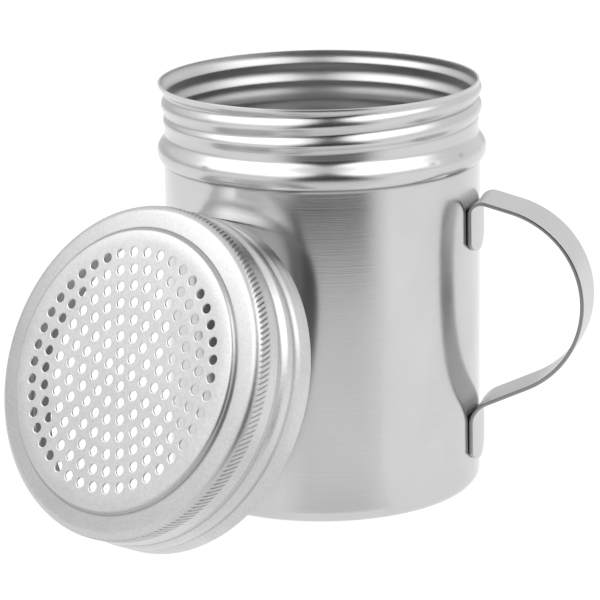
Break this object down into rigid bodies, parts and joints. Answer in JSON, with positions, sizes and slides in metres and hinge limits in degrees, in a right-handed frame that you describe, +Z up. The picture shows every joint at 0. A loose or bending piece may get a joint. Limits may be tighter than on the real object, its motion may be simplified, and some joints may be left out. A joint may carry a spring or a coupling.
{
  "type": "sugar dredger",
  "caption": "Stainless-steel sugar dredger: a round drawn can with a bent strip handle, and its perforated screw lid leaning against it.",
  "frame": {"origin": "centre of the can's flat underside, on the surface that it stands on", "axes": "+Z up along the can's axis, +X out through the middle of the handle, and the lid leans on the -Y side"},
  "size_m": [0.1528, 0.1468, 0.1174],
  "materials": {
    "can_steel": "fine turned lines round the wall, brighter polished bead and thread",
    "handle_steel": "satin, brushed along the strip, with bright rounded edges",
    "lid_steel": "satin pressed face, knurled grip band"
  },
  "bodies": {
    "can": {"can": "can_steel", "handle": "handle_steel"},
    "lid": {"lid": "lid_steel"}
  },
  "joints": [
    {"name": "lid_lift_off", "type": "slide", "parent": "can", "child": "lid", "axis": [-0.3977, -0.8263, 0.3987], "range_m": [0, 0.12]}
  ]
}
